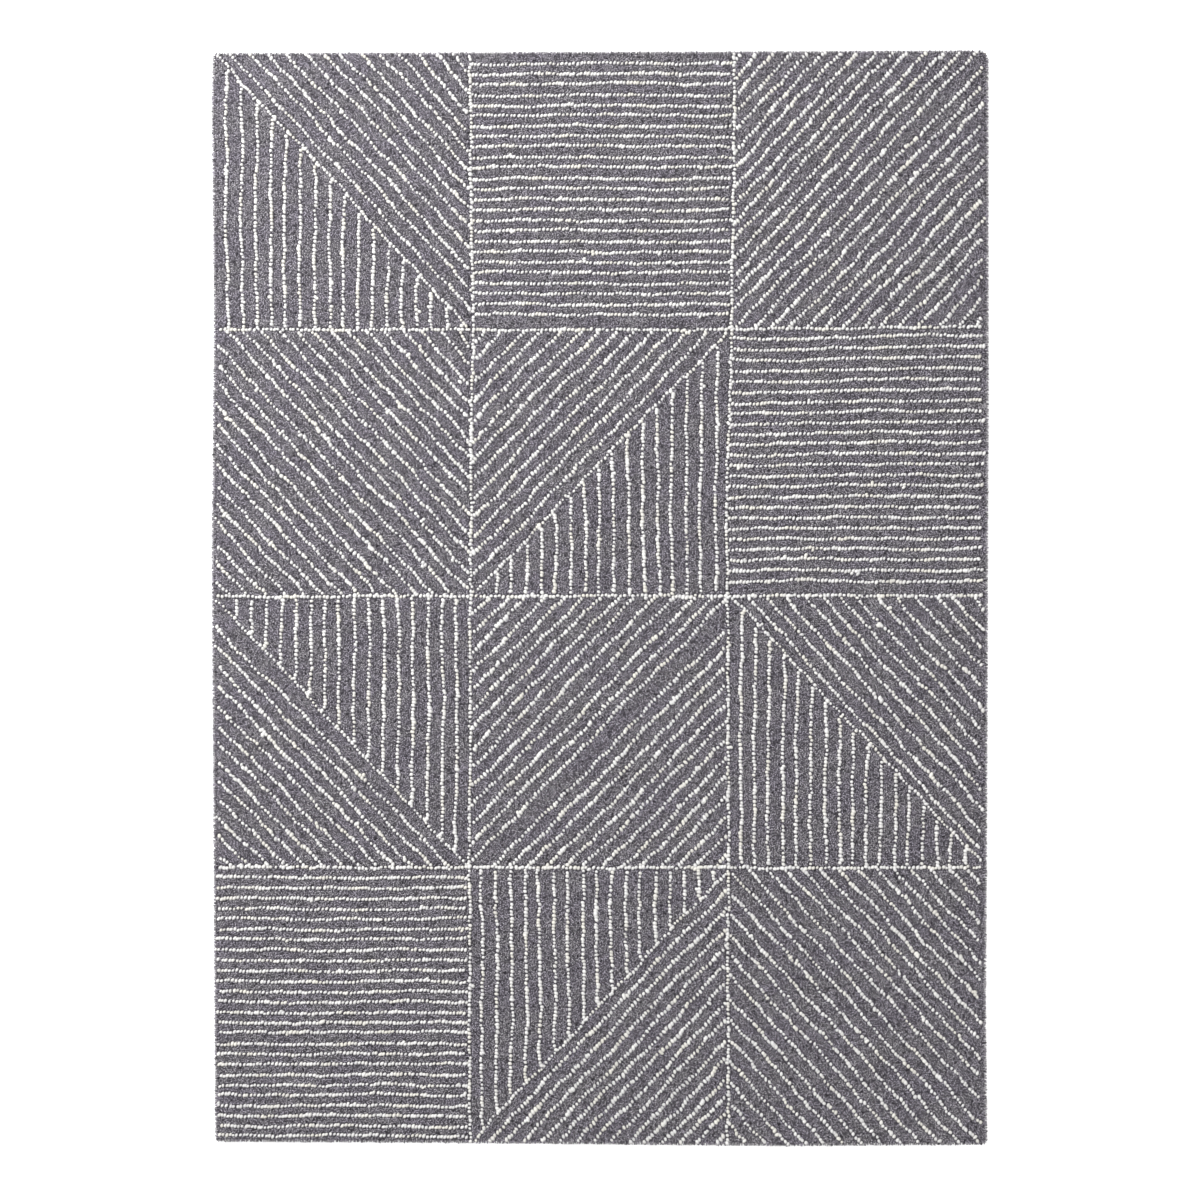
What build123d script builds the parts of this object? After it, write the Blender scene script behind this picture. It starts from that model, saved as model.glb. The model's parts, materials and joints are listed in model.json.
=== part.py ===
from build123d import *

import math
import os

# A hand-tufted loop-pile wool rug lying flat. X is its width, Y its length, Z up, and the
# origin is the centre of its underside. All sizes are in millimetres.

# Overall size
rug_width = 1700.0
rug_length = 2400.0

# Layers, from the floor up
secondary_thickness = 0.9  # woven cotton cloth, and the tapes that frame it
latex_thickness = 1.3
primary_thickness = 0.6  # the cloth that the pile is tufted through
pile_height = 7.2

# The pattern: a grid of ivory lines with twelve tiles of parallel ivory lines between them
column_lines = (-285.0, 287.0)
row_lines = (589.0, 2.0, -595.0)
line_width = 6.5
line_land = 5.0  # ground left between the end of an ivory line and the side of its tile
edge_land = 12.0  # the same at the outer edges of the rug
tie_gap = 1.5  # ground left between an upright line and the diagonal that it runs into

# The rug folds across its width along three lines, which part it into four bands
quarter_fold = 607.0  # distance of the two end folds from the middle
middle_fold = -6.0
fold_gap = 0.4

# Edges and the underside
backing_inset = 4.0  # the pile stands proud of the cloth all round
tape_width = 45.0
corner_radius = 8.0
loose_corner_radius = 18.0  # the north-east corner is rounder than the others
stitch_length = 9.0
stitch_width = 1.2
stitch_depth = 0.5
stitch_pitch = 22.0
stitch_inset = 6.0  # from the inner side of the tape
label_width = 70.0
label_height = 45.0
label_thickness = 0.4
label_edge_distance = 40.0  # from the tapes to the label
label_stitch_count = 9
label_stitch_length = 4.0

# Heights of the layers
latex_floor = secondary_thickness
primary_floor = latex_floor + latex_thickness
pile_floor = primary_floor + primary_thickness

half_width = rug_width / 2
half_length = rug_length / 2
touching = 0.01  # a corner this near the rug's outline counts as one of its own

# South and north side of each band
bands = {
    1: (quarter_fold + fold_gap / 2, half_length),
    2: (middle_fold + fold_gap / 2, quarter_fold - fold_gap / 2),
    3: (-quarter_fold + fold_gap / 2, middle_fold - fold_gap / 2),
    4: (-half_length, -quarter_fold - fold_gap / 2),
}

# West and east side of each column of tiles, between the column lines
columns = {
    1: (-half_width, column_lines[0] - line_width / 2),
    2: (column_lines[0] + line_width / 2, column_lines[1] - line_width / 2),
    3: (column_lines[1] + line_width / 2, half_width),
}

# The lines of each tile, as its kind and the counts of its lines. "rows" run across the rug.
# "rising" and "falling" fill the tile with diagonals, counted as the steps that divide each
# side. In the "split" kinds uprights meet the main diagonal from below or from above, and
# the other half has diagonals.
tiles = {
    (1, 1): ("falling_uprights_below", 14, 17),
    (1, 2): ("rows", 25, 0),
    (1, 3): ("rising", 14, 0),
    (2, 1): ("falling", 14, 0),
    (2, 2): ("rising_uprights_below", 14, 16),
    (2, 3): ("rows", 24, 0),
    (3, 1): ("falling_uprights_above", 14, 16),
    (3, 2): ("rising", 14, 0),
    (3, 3): ("falling_uprights_below", 14, 17),
    (4, 1): ("rows", 26, 0),
    (4, 2): ("rising_uprights_above", 15, 17),
    (4, 3): ("falling", 13, 0),
}


def field(row, column):
    """The rectangle that a tile's ivory lines may fill: west, south, east, north."""
    south, north = bands[row]
    west, east = columns[column]
    for y in row_lines:
        if (south + north) / 2 < y < north:
            north = y - line_width / 2
        elif south < y < north:
            south = y + line_width / 2
    west_land = edge_land if column == 1 else line_land
    east_land = edge_land if column == 3 else line_land
    south_land = edge_land if row == 4 else line_land
    north_land = edge_land if row == 1 else line_land
    return west + west_land, south + south_land, east - east_land, north - north_land


def row_run(box, count):
    """Lines across the tile, evenly spaced, half a step clear of its two ends."""
    west, south, east, north = box
    step = (north - south) / count
    heights = [south + step * (i + 0.5) for i in range(count)]
    return [((west, y), (east, y)) for y in heights]


def diagonal_run(box, steps, falling, halves=("below", "above")):
    """The main diagonal and lines parallel to it on the named sides of it."""
    west, south, east, north = box
    across = (east - west) / steps
    along = (north - south) / steps
    run = [((west, south), (east, north))]
    for i in range(1, steps):
        if "above" in halves:
            run.append(((west, south + i * along), (east - i * across, north)))
        if "below" in halves:
            run.append(((west + i * across, south), (east, north - i * along)))
    if falling:
        run = [((a, south + north - b), (c, south + north - d)) for (a, b), (c, d) in run]
    return run


def upright_run(box, count, falling, above):
    """Upright lines from one end of the tile to just short of its main diagonal."""
    west, south, east, north = box
    slope = (north - south) / (east - west)
    half = line_width / 2
    clear = half * math.hypot(1, slope) + half * slope + tie_gap
    step = (east - west) / (count + 1)
    run = []
    for i in range(1, count + 1):
        x = west + i * step
        tie = north - slope * (x - west) if falling else south + slope * (x - west)
        if above and north - tie > clear + line_width:
            run.append(((x, tie + clear), (x, north)))
        if not above and tie - south > clear + line_width:
            run.append(((x, south), (x, tie - clear)))
    return run


def tile_lines(row, column):
    """Start and end of each ivory line inside one tile."""
    kind, steps, uprights = tiles[row, column]
    box = field(row, column)
    if kind == "rows":
        return row_run(box, steps)
    falling = kind.startswith("falling")
    if not uprights:
        return diagonal_run(box, steps, falling)
    uprights_above = kind.endswith("above")
    # A falling tile is mirrored top to bottom, so its other half is named the other way round.
    other_half = "below" if uprights_above != falling else "above"
    diagonals = diagonal_run(box, steps, falling, (other_half,))
    return diagonals + upright_run(box, uprights, falling, uprights_above)


def row_line_pieces(row, column):
    """The stretch of a row line that crosses this tile's column, if its band holds one."""
    south, north = bands[row]
    west, _, east, _ = field(row, column)
    return [((west, y), (east, y)) for y in row_lines if south < y < north]


def strip_wire(start, end, width):
    """The outline of a straight strip from start to end."""
    (x1, y1), (x2, y2) = start, end
    length = math.hypot(x2 - x1, y2 - y1)
    across_x = -(y2 - y1) / length * width / 2
    across_y = (x2 - x1) / length * width / 2
    return Wire.make_polygon(
        [
            (x1 + across_x, y1 + across_y),
            (x2 + across_x, y2 + across_y),
            (x2 - across_x, y2 - across_y),
            (x1 - across_x, y1 - across_y),
        ],
        close=True,
    )


def outline(west, south, east, north, inset=0.0):
    """A rectangle whose corners are rounded where they are corners of the rug."""
    shape = Pos((west + east) / 2, (south + north) / 2) * Rectangle(east - west, north - south)
    for corner in shape.vertices():
        reach_x = half_width - inset - abs(corner.X)
        reach_y = half_length - inset - abs(corner.Y)
        if max(reach_x, reach_y) > touching:
            continue
        loose = corner.X > 0 and corner.Y > 0
        radius = (loose_corner_radius if loose else corner_radius) - inset
        here = shape.vertices().sort_by_distance(corner)[0]
        shape = fillet(here, radius)
    return shape.face().outer_wire()


def plate(wire, floor, thickness, slots=()):
    """A flat plate with that outline and through-slots."""
    face = Face(wire, list(slots))
    return extrude(face, amount=thickness, dir=(0, 0, 1)).moved(Location((0, 0, floor)))


def save(name, shapes):
    """Writes the shapes as one node."""
    solids = [solid for shape in shapes for solid in shape.solids()]
    shape = solids[0] if len(solids) == 1 else Compound(children=solids)
    shape.label = name
    export_step(shape, f"parts/{name}.step")


def strips(lines, floor, thickness, width):
    """A bar along each line."""
    return [plate(strip_wire(a, b, width), floor, thickness) for a, b in lines]


def make_ground_pile(row, column):
    """The grey pile of one tile, with a slot for each ivory line that stands in it."""
    south, north = bands[row]
    west, east = columns[column]
    lines = tile_lines(row, column) + row_line_pieces(row, column)
    slots = [strip_wire(a, b, line_width) for a, b in lines]
    shape = plate(outline(west, south, east, north), pile_floor, pile_height, slots)
    save(f"ground_pile_r{row}c{column}", [shape])


def make_ivory_lines(row, column):
    """The ivory lines inside one tile."""
    shapes = strips(tile_lines(row, column), pile_floor, pile_height, line_width)
    save(f"ivory_lines_r{row}c{column}", shapes)


def make_column_lines(row):
    """The two ivory lines between the columns of tiles, over one band."""
    south, north = bands[row]
    lines = [((x, south), (x, north)) for x in column_lines]
    save(f"ivory_column_lines_row_{row}", strips(lines, pile_floor, pile_height, line_width))


def make_row_line(number):
    """One ivory line across the rug, in three stretches between the column lines."""
    y = row_lines[number - 1]
    row = next(r for r, (south, north) in bands.items() if south < y < north)
    lines = [line for c in columns for line in row_line_pieces(row, c) if line[0][1] == y]
    save(f"ivory_row_line_{number}", strips(lines, pile_floor, pile_height, line_width))


def inset_band(row, inset):
    """West, south, east and north side of a band, with the rug's own edges set in."""
    south, north = bands[row]
    south += inset if row == 4 else 0
    north -= inset if row == 1 else 0
    return -half_width + inset, south, half_width - inset, north


def make_inner_layer(name, row, floor, thickness):
    """One band of the cloth that the pile is tufted through, or of the latex under it."""
    wire = outline(*inset_band(row, backing_inset), inset=backing_inset)
    save(f"{name}_row_{row}", [plate(wire, floor, thickness)])


def label_box():
    """West, south, east and north side of the label, near the south-west corner."""
    west, south, _, _ = inset_band(4, backing_inset + tape_width + label_edge_distance)
    return west, south, west + label_width, south + label_height


def make_secondary_backing(row):
    """One band of the backing cloth, inside the tapes, with a recess for the label."""
    west, south, east, north = inset_band(row, backing_inset + tape_width)
    cloth = plate(outline(west, south, east, north), 0, secondary_thickness)
    if row == 4:
        cloth = cloth - plate(outline(*label_box()), 0, label_thickness)
    save(f"secondary_backing_row_{row}", [cloth])


def label_stitch_lines():
    """A row of short stitches across the top of the label."""
    west, _, east, north = label_box()
    y = north - stitch_inset
    step = (east - west) / label_stitch_count
    middles = [west + step * (i + 0.5) for i in range(label_stitch_count)]
    return [((x - label_stitch_length / 2, y), (x + label_stitch_length / 2, y)) for x in middles]


def make_label():
    """The blank care label and the stitches that hold it."""
    slots = [strip_wire(a, b, stitch_width) for a, b in label_stitch_lines()]
    save("care_label", [plate(outline(*label_box()), 0, label_thickness, slots)])
    stitches = strips(label_stitch_lines(), 0, label_thickness, stitch_width)
    save("care_label_stitches", stitches)


def stitch_run(start, end):
    """Stitches in line from start to end, as their own starts and ends."""
    (x1, y1), (x2, y2) = start, end
    length = math.hypot(x2 - x1, y2 - y1)
    ux, uy = (x2 - x1) / length, (y2 - y1) / length
    count = int(length / stitch_pitch)
    run = []
    for i in range(count):
        middle = length * (i + 0.5) / count
        near, far = middle - stitch_length / 2, middle + stitch_length / 2
        run.append(((x1 + ux * near, y1 + uy * near), (x1 + ux * far, y1 + uy * far)))
    return run


def tape_boxes(row):
    """The tapes of one band: name, sides, and the line that their stitches follow."""
    west, south, east, north = inset_band(row, backing_inset)
    inner_west, inner_south, inner_east, inner_north = inset_band(row, backing_inset + tape_width)
    tapes = {
        f"edge_tape_west_row_{row}": (
            (west, inner_south, inner_west, inner_north),
            ((inner_west - stitch_inset, inner_south), (inner_west - stitch_inset, inner_north)),
        ),
        f"edge_tape_east_row_{row}": (
            (inner_east, inner_south, east, inner_north),
            ((inner_east + stitch_inset, inner_south), (inner_east + stitch_inset, inner_north)),
        ),
    }
    if row == 1:
        tapes["edge_tape_north"] = (
            (west, inner_north, east, north),
            ((west, inner_north + stitch_inset), (east, inner_north + stitch_inset)),
        )
    if row == 4:
        tapes["edge_tape_south"] = (
            (west, south, east, inner_south),
            ((west, inner_south - stitch_inset), (east, inner_south - stitch_inset)),
        )
    return tapes


def make_tapes(row):
    """The tapes round the underside of one band, and the stitches that hold them."""
    stitches = []
    for name, (box, stitch_line) in tape_boxes(row).items():
        run = stitch_run(*stitch_line)
        slots = [strip_wire(a, b, stitch_width) for a, b in run]
        wire = outline(*box, inset=backing_inset)
        whole = plate(wire, stitch_depth, secondary_thickness - stitch_depth)
        slotted = plate(wire, 0, stitch_depth, slots)
        save(name, [whole.fuse(slotted)])
        stitches += strips(run, 0, stitch_depth, stitch_width)
    save(f"tape_stitching_row_{row}", stitches)


os.makedirs("parts", exist_ok=True)
for row in bands:
    for column in columns:
        make_ground_pile(row, column)
        make_ivory_lines(row, column)
    make_column_lines(row)
    make_inner_layer("primary_backing", row, primary_floor, primary_thickness)
    make_inner_layer("latex_coat", row, latex_floor, latex_thickness)
    make_secondary_backing(row)
    make_tapes(row)
for number in range(1, len(row_lines) + 1):
    make_row_line(number)
make_label()
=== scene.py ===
import json
import math

import bpy
import numpy as np
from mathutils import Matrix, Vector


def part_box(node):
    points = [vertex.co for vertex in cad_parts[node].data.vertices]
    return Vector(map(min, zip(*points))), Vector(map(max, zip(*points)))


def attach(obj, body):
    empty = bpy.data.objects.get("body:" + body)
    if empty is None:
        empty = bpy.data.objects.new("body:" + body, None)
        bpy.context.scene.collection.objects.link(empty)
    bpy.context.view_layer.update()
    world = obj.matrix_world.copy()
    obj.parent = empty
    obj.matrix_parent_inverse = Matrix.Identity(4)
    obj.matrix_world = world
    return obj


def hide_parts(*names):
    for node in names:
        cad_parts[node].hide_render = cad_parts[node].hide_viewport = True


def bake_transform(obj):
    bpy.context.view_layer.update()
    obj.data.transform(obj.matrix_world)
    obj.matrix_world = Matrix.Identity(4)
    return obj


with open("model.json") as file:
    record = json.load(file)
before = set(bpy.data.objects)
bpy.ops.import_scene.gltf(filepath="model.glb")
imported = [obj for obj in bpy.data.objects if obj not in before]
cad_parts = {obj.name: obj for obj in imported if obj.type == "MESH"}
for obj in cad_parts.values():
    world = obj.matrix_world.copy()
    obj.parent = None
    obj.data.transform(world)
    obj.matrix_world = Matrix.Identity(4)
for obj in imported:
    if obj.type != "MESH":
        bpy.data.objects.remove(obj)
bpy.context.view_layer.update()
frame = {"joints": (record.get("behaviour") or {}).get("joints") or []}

MM = 0.001

BACKING_INSET = 4 * MM  # how far the pile stands out past the cloths

# Places and heights that the frame holds, in metres
HALF_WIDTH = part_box("primary_backing_row_1")[1].x + BACKING_INSET
HALF_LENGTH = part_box("ground_pile_r1c1")[1].y
PILE_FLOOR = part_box("ground_pile_r1c1")[0].z
PILE_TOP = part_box("ground_pile_r1c1")[1].z
LINE_HALF = 3.25 * MM  # half the width of an ivory line in the frame
COLUMN_LINES = (
    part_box("ivory_column_lines_row_1")[0].x + LINE_HALF,
    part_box("ivory_column_lines_row_1")[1].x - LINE_HALF,
)
ROW_LINES = [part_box(f"ivory_row_line_{n}")[0].y + LINE_HALF for n in (1, 2, 3)]
FOLDS = {j["name"]: j["pos_m"][1] for j in frame["joints"]}
ROWS = (1, 2, 3, 4)
COLUMNS = (1, 2, 3)

# Grid cells between the middles of the lines: west, south, east, north
SIDES_X = (-HALF_WIDTH, *COLUMN_LINES, HALF_WIDTH)
SIDES_Y = (HALF_LENGTH, *ROW_LINES, -HALF_LENGTH)
CELLS = {(r, c): (SIDES_X[c - 1], SIDES_Y[r], SIDES_X[c], SIDES_Y[r - 1]) for r in ROWS for c in COLUMNS}

END_BEND = 6 * MM  # an end fold bends the rug this far to each side of its line
MIDDLE_BEND = 40 * MM  # the middle fold bends it to the moving side only

# How each row bends: the two bodies, and where along Y the bend starts and ends
BENDS = {
    1: ("row_2", "row_1", FOLDS["north_end_fold"] - END_BEND, FOLDS["north_end_fold"] + END_BEND),
    3: ("row_2", "row_3", FOLDS["middle_fold"], FOLDS["middle_fold"] - MIDDLE_BEND),
    4: ("row_3", "row_4", FOLDS["south_end_fold"] + END_BEND, FOLDS["south_end_fold"] - END_BEND),
}

# South and north side of the band of each row, which takes its whole bend
BANDS = {
    1: (BENDS[1][2], HALF_LENGTH),
    2: (BENDS[3][2], BENDS[1][2]),
    3: (BENDS[4][2], BENDS[3][2]),
    4: (-HALF_LENGTH, BENDS[4][2]),
}

CORNER = 9 * MM  # the radius of the rug's corners
LOOSE_CORNER = 20 * MM  # and of the north-east one, which is slacker

# The ivory lines of each tile, in millimetres. "rows" gives their count, the distance of the
# first from the top and of the last from the bottom, and how far the first rises to the east.
# A corner family gives its count, then where its first and last line meet the two sides next
# to that corner, along X and along Y. Uprights give their count and first and last place, and
# end at a diagonal from corner to corner.
PATTERN = {
    (1, 1): {"slope": "falling", "ne": (13, 38, 528, 49, 566), "below": (17, 31, 546)},
    (1, 2): {"rows": (25, 26, 31, 0)},
    (1, 3): {"slope": "rising", "nw": (15, 27, 541, 32, 584), "se": (14, 36, 552, 42, 590)},
    (2, 1): {"slope": "falling", "ne": (14, 30, 544, 38, 577), "sw": (13, 38, 529, 38, 562)},
    (2, 2): {"slope": "rising", "nw": (13, 40, 529, 44, 545), "below": (16, 59, 541)},
    (2, 3): {"rows": (24, 24, 33, 10)},
    (3, 1): {"slope": "falling", "sw": (13, 42, 525, 32, 540), "above": (16, 52, 536)},
    (3, 2): {"slope": "rising", "nw": (14, 49, 570, 45, 590), "se": (13, 40, 526, 40, 534)},
    (3, 3): {"slope": "falling", "ne": (13, 33, 529, 38, 571), "below": (17, 24, 516)},
    (4, 1): {"rows": (26, 22, 14, 0)},
    (4, 2): {"slope": "rising", "se": (14, 41, 533, 36, 564), "above": (17, 27, 533)},
    (4, 3): {"slope": "falling", "sw": (13, 37, 549, 41, 598), "ne": (13, 44, 528, 46, 570)},
}
SPREAD = 2.0 * MM  # how unevenly the diagonals are set out
EVEN_SPREAD = 0.8 * MM  # and the rows and uprights
FOOT_SPREAD = 2 * MM  # how far the foot of an upright strays
POINT_STEP = 2 * MM
FEWEST_POINTS = 4  # a line with fewer is left out

# Where the grid lines run, from end to end, in millimetres
COLUMN_COURSE = (
    ((1200, -286), (590, -278), (300, -283), (-600, -286), (-1200, -286)),
    ((1200, 297), (590, 290), (200, 279), (-300, 283), (-1200, 281)),
)
ROW_COURSE = (
    ((-850, 587), (200, 587), (850, 594)),
    ((-850, 1), (850, 3)),
    ((-850, -594), (850, -595)),
)

# How far the rug's sides stray from straight, in millimetres outward, from one end to the other
NORTH_STRAY = ((-850, -5), (0, -2), (850, 1))
SOUTH_STRAY = ((-850, -3.5), (-350, -1), (400, 6.5), (850, 3.5))
WEST_STRAY = ((-1200, -5), (-700, -2), (80, 3), (600, -2), (1100, 3), (1200, 0))
EAST_STRAY = ((-1200, 1), (-900, -2), (-600, 0), (500, 4), (1200, 3))
STRAY_REACH = 150 * MM

# The ivory loops of each kind of line: which way they lean from +X and how much that varies, in
# degrees; how much longer than wide they are; how wide where the yarn is thin, how much wider
# where it is bold, and how far apart, in millimetres; how bold the line is on the whole; and how
# uneven the loops are
BEADS = {
    "rows": (50, 14, 1.4, 6.3, 1.5, 8.0, 0.5, 0.12),
    "uprights": (146, 20, 1.2, 6.8, 2.1, 8.2, 0.55, 0.15),
    "rising": (116, 16, 1.38, 6.6, 1.9, 8.6, 0.5, 0.14),
    "falling": (100, 26, 1.25, 6.7, 2.0, 8.7, 0.5, 0.17),
    "main_diagonal": (108, 24, 1.2, 6.3, 1.7, 8.6, 0.4, 0.16),
    "grid_x": (40, 26, 1.2, 6.8, 1.9, 8.5, 0.5, 0.17),
    "grid_y": (130, 26, 1.15, 6.9, 2.0, 8.6, 0.5, 0.17),
}
CROWDING = 1.3 * MM  # how much closer together the boldest loops stand than the thinnest
DOUBLED = 0.03  # the share of loops that have a second one beside them
JITTER = 5 * MM  # how far an uneven line's loops stray from it, times its unevenness

# Where each random draw starts from. The row is added for stitches, the tile for ground and lines.
PATCH_SEED, GRID_SEED, RIM_SEED, STITCH_SEED, LABEL_SEED = 5, 7, 11, 50, 60
GROUND_SEED, LINES_SEED = 100, 1000


# -------------------- shapes of the ivory lines


ANY_PHASE = (0, 6.28)
STRETCHING = (0.8, 1.25)  # how much shorter or longer a wave may be than its length says


def sway(s, waves, rng):
    """A smooth wander along s: a sum of waves, each with a reach and a length."""
    total = np.zeros_like(s)
    for reach, length in waves:
        actual = length * rng.uniform(*STRETCHING)
        total += reach * np.sin(2 * math.pi * s / actual + rng.uniform(*ANY_PHASE))
    return total


LINE_WAVES = ((1.6 * MM, 300 * MM), (1.25 * MM, 110 * MM), (0.8 * MM, 50 * MM), (0.4 * MM, 23 * MM))
STRAIGHTER_WAVES = ((0.9 * MM, 300 * MM), (0.8 * MM, 110 * MM), (0.65 * MM, 48 * MM), (0.3 * MM, 23 * MM))


def course(points, at):
    """Reads a table of (place, value) in millimetres at places in metres."""
    places, values = np.array(sorted(points), float).T
    return np.interp(at, places * MM, values * MM)


# The waves of the wander that neighbouring lines share, in X and in Y: how far each reaches,
# how it turns along X and along Y in radians per metre, and where it starts
SHARED_WAVES = (
    ((1.8 * MM, 7.3, 12.1, 0.6), (1.0 * MM, -17, 31, 2.1)),
    ((1.3 * MM, 13.7, -6.1, 1.9), (0.8 * MM, 29, 21, 0.4)),
)


def shared_sway(waves, x, y):
    """How far a slow wander reaches at these places."""
    return sum(reach * np.sin(turn_x * x + turn_y * y + phase) for reach, turn_x, turn_y, phase in waves)


def line_path(start, end, rng, waves=LINE_WAVES):
    """Points along a hand-drawn line from start to end, close together."""
    start, end = np.array(start), np.array(end)
    length = np.linalg.norm(end - start)
    if length < FEWEST_POINTS * POINT_STEP:
        return None
    s = np.linspace(0, length, int(length / POINT_STEP) + 1)
    along = (end - start) / length
    across = np.array([-along[1], along[0]])
    path = start + np.outer(s, along) + np.outer(sway(s, waves, rng), across)
    return path + np.stack([shared_sway(waves, *path.T) for waves in SHARED_WAVES], 1)


END_OVERRUN = 14 * MM  # lines are drawn past their tile, then cut back to its sides

# How far inside the rug's sides the lines end, and how much that varies
WEST_LAND, EAST_LAND, SOUTH_LAND, NORTH_LAND = 8 * MM, 12 * MM, 5 * MM, 4 * MM
LAND_SPREAD = 2.5 * MM
GRID_LAND = 4 * MM  # from the middle of a grid line


def side_places(key, x, y):
    """Where the four sides of a tile are beside the given points: west, south, east, north."""
    row, column = key
    west = course(COLUMN_COURSE[column - 2], y) if column > 1 else -HALF_WIDTH
    east = course(COLUMN_COURSE[column - 1], y) if column < 3 else HALF_WIDTH
    south = course(ROW_COURSE[row - 1], x) if row < 4 else -HALF_LENGTH
    north = course(ROW_COURSE[row - 2], x) if row > 1 else HALF_LENGTH
    return west, south, east, north


def clipped(path, key, rng):
    """The part of a path that stays clear of its tile's sides."""
    if path is None:
        return None
    row, column = key
    x, y = path[:, 0], path[:, 1]
    west, south, east, north = side_places(key, x, y)
    slack = rng.normal(0, LAND_SPREAD, 4)
    inside = x > west + (GRID_LAND if column > 1 else WEST_LAND + slack[0])
    inside &= x < east - (GRID_LAND if column < 3 else EAST_LAND + slack[1])
    inside &= y > south + (GRID_LAND if row < 4 else SOUTH_LAND + slack[2] / 2)
    inside &= y < north - (GRID_LAND if row > 1 else NORTH_LAND + slack[3] / 2)
    kept = path[inside]
    return kept if len(kept) >= FEWEST_POINTS else None


def overrun(start, end):
    """A line's two ends, moved apart."""
    start, end = np.array(start), np.array(end)
    along = (end - start) / np.linalg.norm(end - start)
    return start - along * END_OVERRUN, end + along * END_OVERRUN


def diagonal(cell, slope):
    """The west and the east end of a cell's diagonal."""
    west, south, east, north = cell
    return ((west, north), (east, south)) if slope == "falling" else ((west, south), (east, north))


def family_lines(cell, corner, spec, rng):
    """Parallel diagonals that cut a corner off the cell."""
    count, x_first, x_last, y_first, y_last = spec
    west, south, east, north = cell
    corner_x, inward_x = (east, -1) if "e" in corner else (west, 1)
    corner_y, inward_y = (north, -1) if "n" in corner else (south, 1)
    xs = corner_x + inward_x * np.linspace(x_first, x_last, count) * MM + rng.normal(0, SPREAD, count)
    ys = corner_y + inward_y * np.linspace(y_first, y_last, count) * MM + rng.normal(0, SPREAD, count)
    return [overrun((x, corner_y), (corner_x, y)) for x, y in zip(xs, ys)]


def row_lines(cell, spec, rng):
    """Lines across the cell, one below the other."""
    count, top, bottom, rise = spec
    west, south, east, north = cell
    heights = np.linspace(north - top * MM, south + bottom * MM, count)
    heights += rng.normal(0, EVEN_SPREAD, count)
    rises = np.linspace(rise, 0, count) * MM
    return [overrun((west, y), (east, y + up)) for y, up in zip(heights, rises)]


HOOK = 7 * MM  # the length of the bent stretch
HOOK_SHARE = 0.8  # how far it bends over, as a share of that


def hooked(path, way):
    """Bends the first stretch of an upright over towards the diagonal."""
    reach = np.abs(path[:, 1] - path[0, 1])
    bend = np.clip(1 - reach / HOOK, 0, 1) ** 2
    path[:, 0] += way * HOOK * HOOK_SHARE * bend
    return path


def upright_paths(cell, slope, side, spec, rng):
    """Uprights from one end of the cell, each tied into the diagonal by a small hook."""
    count, first, last = spec
    (x0, y0), (x1, y1) = diagonal(cell, slope)
    west, south, east, north = cell
    end, away = (north, 1) if side == "above" else (south, -1)
    way = 1 if (slope, side) in (("falling", "below"), ("rising", "above")) else -1
    paths = []
    for x in west + np.linspace(first, last, count) * MM:
        x += rng.normal(0, EVEN_SPREAD)
        meet = y0 + (y1 - y0) * (x - x0) / (x1 - x0)
        foot = (x + rng.normal(0, FOOT_SPREAD), end + away * END_OVERRUN)
        path = line_path((x, meet + away * HOOK), foot, rng, STRAIGHTER_WAVES)
        paths.append(hooked(path, way))
    return paths


def tile_paths(key, rng):
    """The paths of one tile's ivory lines, each with its kind."""
    cell, spec = CELLS[key], PATTERN[key]
    if "rows" in spec:
        lines = row_lines(cell, spec["rows"], rng)
        return [("rows", line_path(a, b, rng, STRAIGHTER_WAVES)) for a, b in lines]
    slope = spec["slope"]
    found = []
    for corner in ("nw", "ne", "sw", "se"):
        if corner in spec:
            lines = family_lines(cell, corner, spec[corner], rng)
            found += [(slope, line_path(a, b, rng)) for a, b in lines]
    for side in ("above", "below"):
        if side in spec:
            found.append(("main_diagonal", line_path(*diagonal(cell, slope), rng)))
            found += [("uprights", p) for p in upright_paths(cell, slope, side, spec[side], rng)]
    return found


# -------------------- loops of yarn

# One loop is a row of numbers: x, y, heading, length, width, top height, bend, tone and warmth.
NUMBERS = 9
X, Y, HEADING, LENGTH, WIDTH, TOP, BEND, TONE, WARMTH = range(NUMBERS)

# How bold and how cream the ivory yarn is along a line, from 0 to 1, as waves
BOLD_WAVES = ((0.5, 170 * MM), (0.45, 60 * MM), (0.3, 28 * MM))
CREAM_WAVES = ((0.5, 260 * MM), (0.5, 90 * MM))
BOLD_SPREAD = 0.25  # how much lines differ
KNOT = 0.9  # how much bolder a line may be at its ends
KNOT_REACH = 9 * MM
BOLD_SHARE = 0.5  # how much the waves count
FIRST_LOOP = 3 * MM  # how far from a line's end its first loop may stand
IVORY_TOPS = (-0.8, 0.4)  # from the pile's top, in millimetres
IVORY_TONE = (0.55, 0.25)  # mean and spread
WARMTH_LEAST, WARMTH_OF_CREAM, WARMTH_OF_BOLD = 0.05, 0.8, 0.3


def boldness_along(s, rng):
    """How much bolder than usual the yarn is along a line, most of all at its ends."""
    wave = sway(s, BOLD_WAVES, rng) + rng.normal(0, BOLD_SPREAD)
    first, last = rng.uniform(0, KNOT, 2)
    return wave + (first * np.exp(-s / KNOT_REACH) + last * np.exp((s - s[-1]) / KNOT_REACH))


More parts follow.
